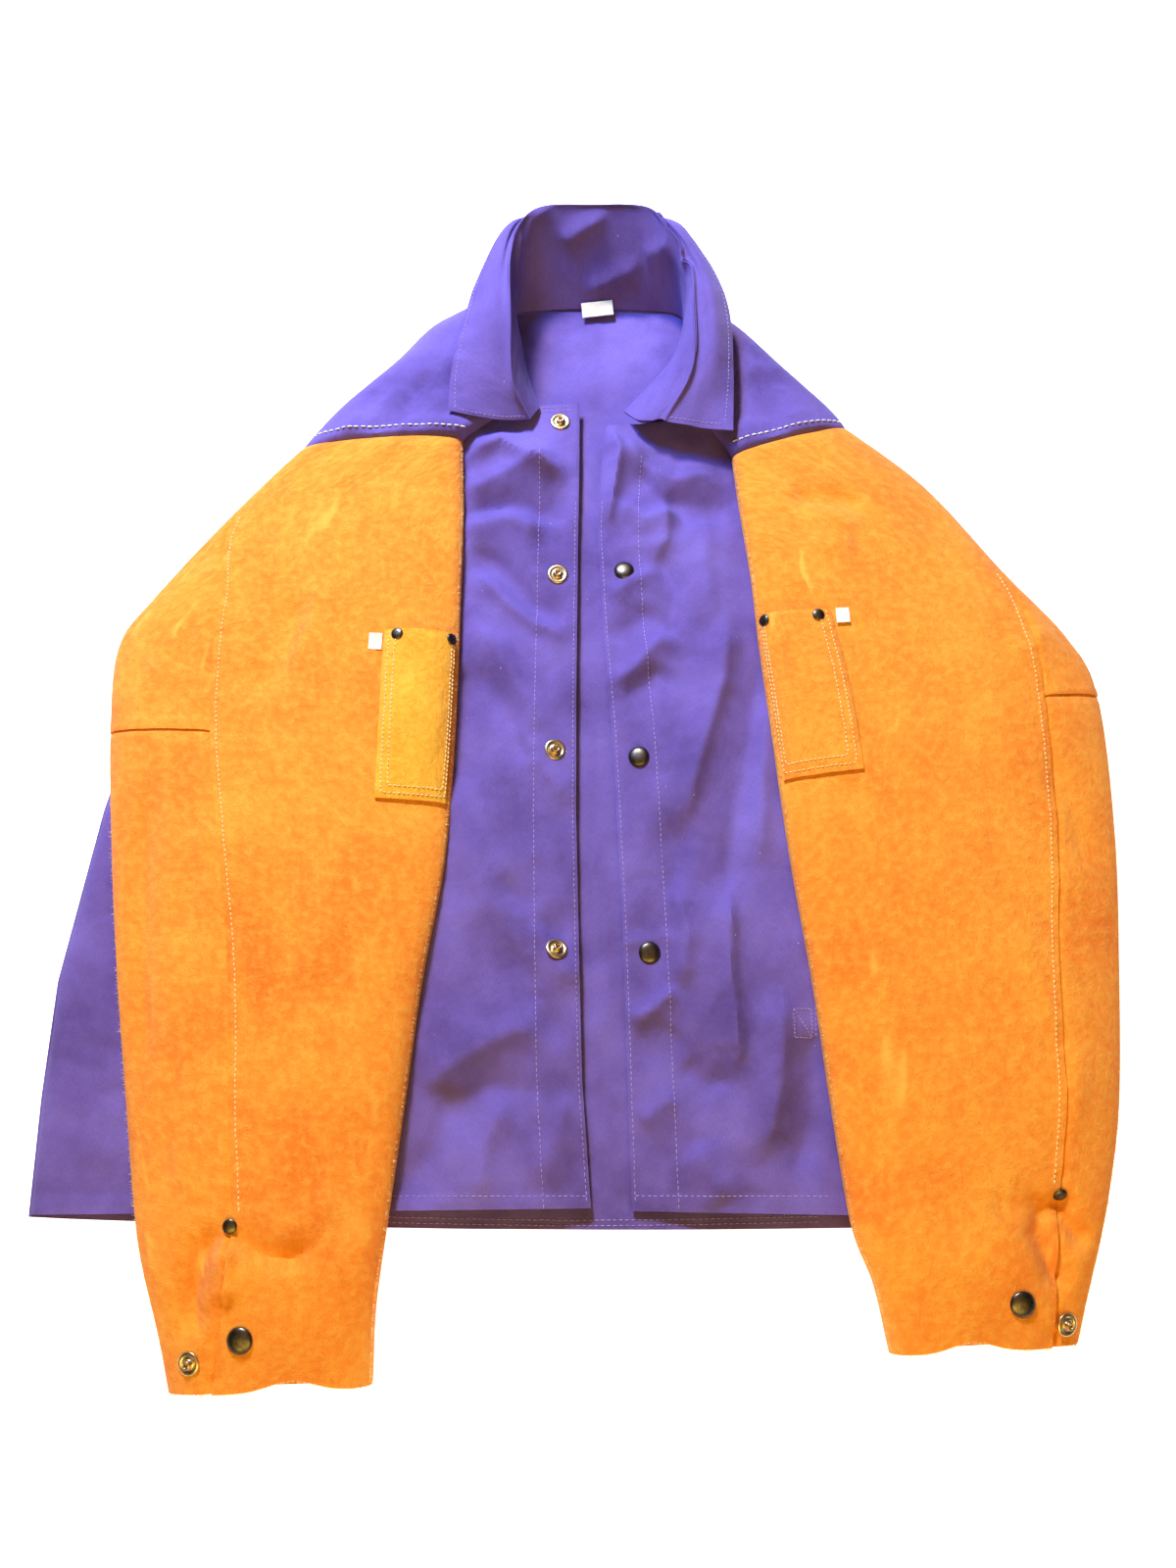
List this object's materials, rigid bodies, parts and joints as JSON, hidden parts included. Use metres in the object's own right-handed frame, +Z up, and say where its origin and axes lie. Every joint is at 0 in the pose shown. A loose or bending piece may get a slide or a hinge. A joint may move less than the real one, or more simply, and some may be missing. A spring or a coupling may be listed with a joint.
{
  "type": "welding jacket",
  "caption": "Welding jacket of blue cotton with split-leather sleeves, laid open on its back: turn-down collar, snap front, slit cuffs and a pocket on each sleeve.",
  "frame": {"origin": "middle of the footprint, on the surface that the jacket lies on", "axes": "+Z up from the table, +Y from the hem to the collar, +X to the wearer's left"},
  "size_m": [0.773, 0.911, 0.068],
  "materials": {
    "blue_cotton": "matt woven twill",
    "split_leather": "napped suede, golden tan",
    "label_tape": "smooth blank tape",
    "brass": "bright pressed brass",
    "dark_brass": "blackened, worn at the crown"
  },
  "bodies": {
    "jacket_body": {"back_panel": "blue_cotton", "collar_back_fall": "blue_cotton", "collar_stand": "blue_cotton", "front_snap_cap_4": "dark_brass", "front_snap_socket_4": "brass", "inside_pocket": "blue_cotton", "left_front_panel": "blue_cotton", "left_shoulder": "blue_cotton", "neck_label": "label_tape", "right_front_panel": "blue_cotton", "right_shoulder": "blue_cotton"},
    "right_front": {"right_front_flap": "blue_cotton", "right_front_facing": "blue_cotton", "front_snap_stud_1": "brass", "front_snap_stud_2": "brass", "front_snap_stud_3": "brass", "front_snap_stud_4": "brass", "front_snap_post_1": "brass", "front_snap_post_2": "brass", "front_snap_post_3": "brass", "front_snap_post_4": "brass"},
    "left_front": {"left_front_flap": "blue_cotton", "left_front_facing": "blue_cotton", "front_snap_cap_1": "dark_brass", "front_snap_cap_2": "dark_brass", "front_snap_cap_3": "dark_brass", "front_snap_socket_1": "brass", "front_snap_socket_2": "brass", "front_snap_socket_3": "brass"},
    "right_wing": {"right_collar_wing": "blue_cotton"},
    "right_cuff": {"right_cuff_flap": "split_leather", "right_cuff_cap": "dark_brass", "right_cuff_socket": "brass"},
    "right_sleeve": {"right_cuff_post": "brass", "right_cuff_stud": "brass", "right_pocket_rivet_inner": "dark_brass", "right_pocket_rivet_outer": "dark_brass", "right_size_tag": "label_tape", "right_sleeve_lower_side": "split_leather", "right_sleeve_main_panel": "split_leather", "right_sleeve_pocket": "split_leather", "right_sleeve_under_panel": "split_leather", "right_sleeve_upper_side": "split_leather", "right_slit_rivet": "dark_brass"},
    "left_wing": {"left_collar_wing": "blue_cotton"},
    "left_cuff": {"left_cuff_flap": "split_leather", "left_cuff_cap": "dark_brass", "left_cuff_socket": "brass"},
    "left_sleeve": {"left_cuff_post": "brass", "left_cuff_stud": "brass", "left_pocket_rivet_inner": "dark_brass", "left_pocket_rivet_outer": "dark_brass", "left_size_tag": "label_tape", "left_sleeve_lower_side": "split_leather", "left_sleeve_main_panel": "split_leather", "left_sleeve_pocket": "split_leather", "left_sleeve_under_panel": "split_leather", "left_sleeve_upper_side": "split_leather", "left_slit_rivet": "dark_brass"}
  },
  "joints": [
    {"name": "right_front_opening", "type": "hinge", "parent": "jacket_body", "child": "right_front", "pos_m": [-0.1135, -0.3455, 0.015], "axis": [-0.1217, -0.9926, 0], "range_deg": [0, 95]},
    {"name": "left_front_opening", "type": "hinge", "parent": "jacket_body", "child": "left_front", "pos_m": [0.1185, -0.3455, 0.015], "axis": [-0.1541, 0.988, 0], "range_deg": [0, 95]},
    {"name": "right_sleeve_lift", "type": "hinge", "parent": "jacket_body", "child": "right_sleeve", "pos_m": [-0.1065, 0.2505, 0.0376], "axis": [-0.9948, -0.1018, 0], "range_deg": [0, 90]},
    {"name": "left_sleeve_lift", "type": "hinge", "parent": "jacket_body", "child": "left_sleeve", "pos_m": [0.1145, 0.2345, 0.0376], "axis": [-0.9695, -0.245, 0], "range_deg": [0, 90]},
    {"name": "right_collar_turn_up", "type": "hinge", "parent": "jacket_body", "child": "right_wing", "pos_m": [-0.0645, 0.2885, 0.056], "axis": [-0.0292, 0.9927, 0.1168], "range_deg": [0, 90]},
    {"name": "left_collar_turn_up", "type": "hinge", "parent": "jacket_body", "child": "left_wing", "pos_m": [0.0805, 0.3055, 0.057], "axis": [0.0467, -0.9921, -0.1167], "range_deg": [0, 90]},
    {"name": "right_cuff_turn_back", "type": "hinge", "parent": "right_sleeve", "child": "right_cuff", "pos_m": [-0.1934, -0.453, 0.0323], "axis": [-0.4405, 0.8883, 0.1304], "range_deg": [0, 110]},
    {"name": "left_cuff_turn_back", "type": "hinge", "parent": "left_sleeve", "child": "left_cuff", "pos_m": [0.2419, -0.4297, 0.0377], "axis": [-0.5771, -0.8136, -0.0704], "range_deg": [0, 110]}
  ]
}
